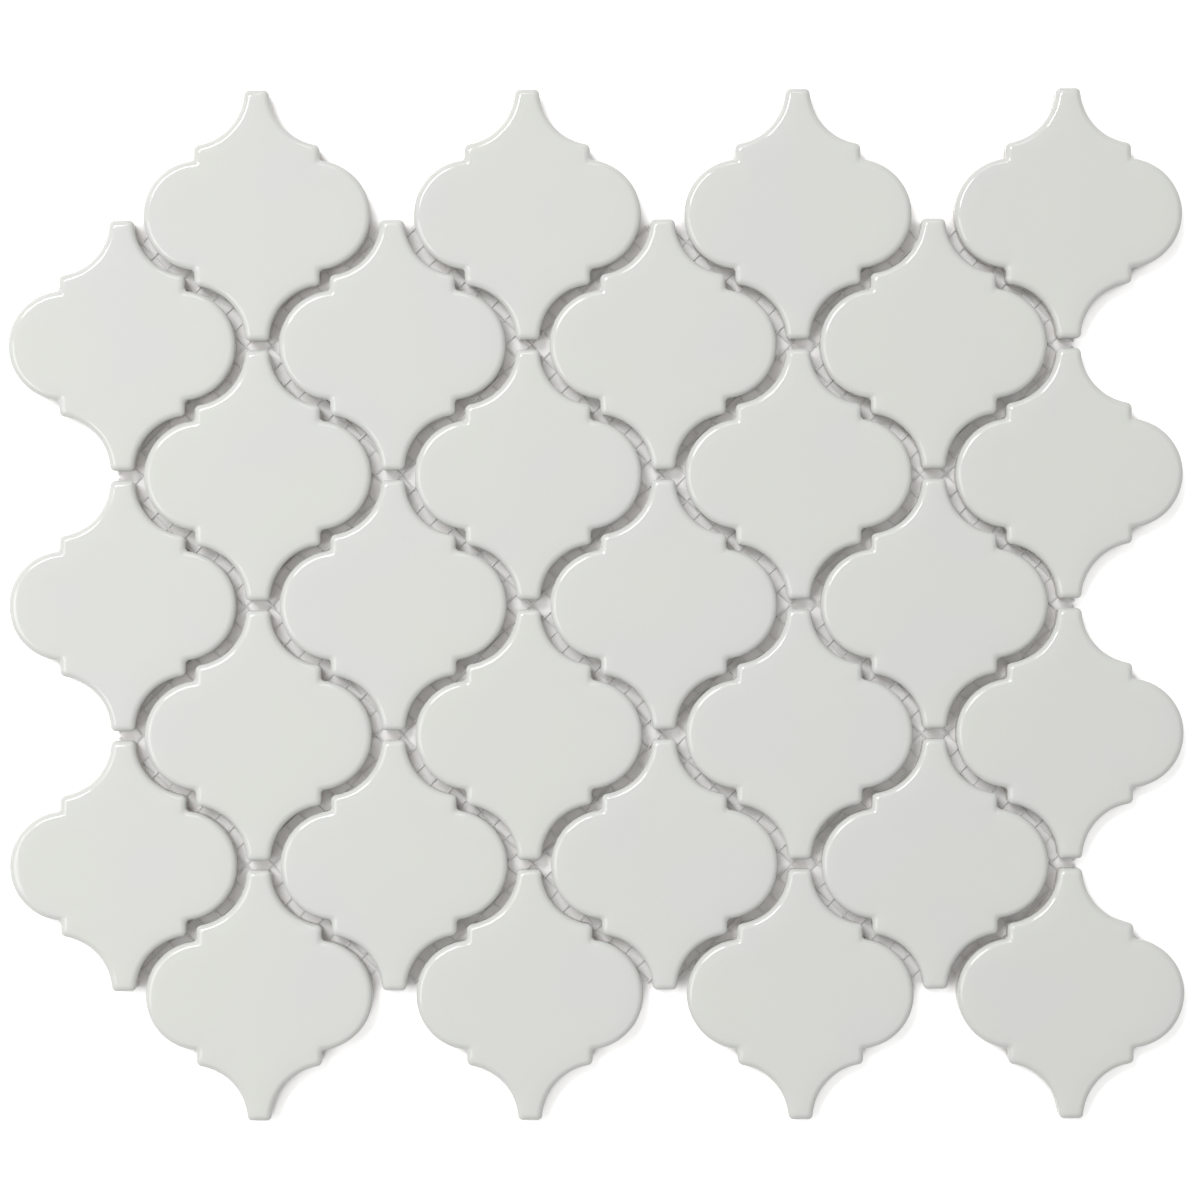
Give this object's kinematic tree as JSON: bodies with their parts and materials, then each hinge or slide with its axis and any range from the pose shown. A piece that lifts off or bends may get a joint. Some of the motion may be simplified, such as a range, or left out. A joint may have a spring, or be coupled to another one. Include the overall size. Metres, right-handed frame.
{
  "type": "mosaic tile sheet",
  "caption": "Mosaic sheet of glossy off-white lantern-shaped arabesque tiles, set in staggered columns with open joints on a fibre net, for bonding to a wall.",
  "frame": {"origin": "middle of the sheet's outline, on the underside of the net that beds on the wall or floor", "axes": "+Z out of the glazed faces, +X along the sheet's long side across the columns, +Y along the columns"},
  "size_m": [0.28, 0.2458, 0.006],
  "materials": {
    "tile_glaze": "gloss off-white glaze",
    "net_fibre": "matt white resin-bonded glass fibre"
  },
  "bodies": {
    "root": {"tile_a1": "tile_glaze", "tile_a2": "tile_glaze", "tile_a3": "tile_glaze", "tile_b1": "tile_glaze", "tile_b2": "tile_glaze", "tile_b3": "tile_glaze", "tile_b4": "tile_glaze", "tile_c1": "tile_glaze", "tile_c2": "tile_glaze", "tile_c3": "tile_glaze", "tile_d1": "tile_glaze", "tile_d2": "tile_glaze", "tile_d3": "tile_glaze", "tile_d4": "tile_glaze", "tile_e1": "tile_glaze", "tile_e2": "tile_glaze", "tile_e3": "tile_glaze", "tile_f1": "tile_glaze", "tile_f2": "tile_glaze", "tile_f3": "tile_glaze", "tile_f4": "tile_glaze", "tile_g1": "tile_glaze", "tile_g2": "tile_glaze", "tile_g3": "tile_glaze", "tile_h1": "tile_glaze", "tile_h2": "tile_glaze", "tile_h3": "tile_glaze", "tile_h4": "tile_glaze", "net_threads_rising": "net_fibre", "net_threads_falling": "net_fibre"}
  },
  "joints": []
}
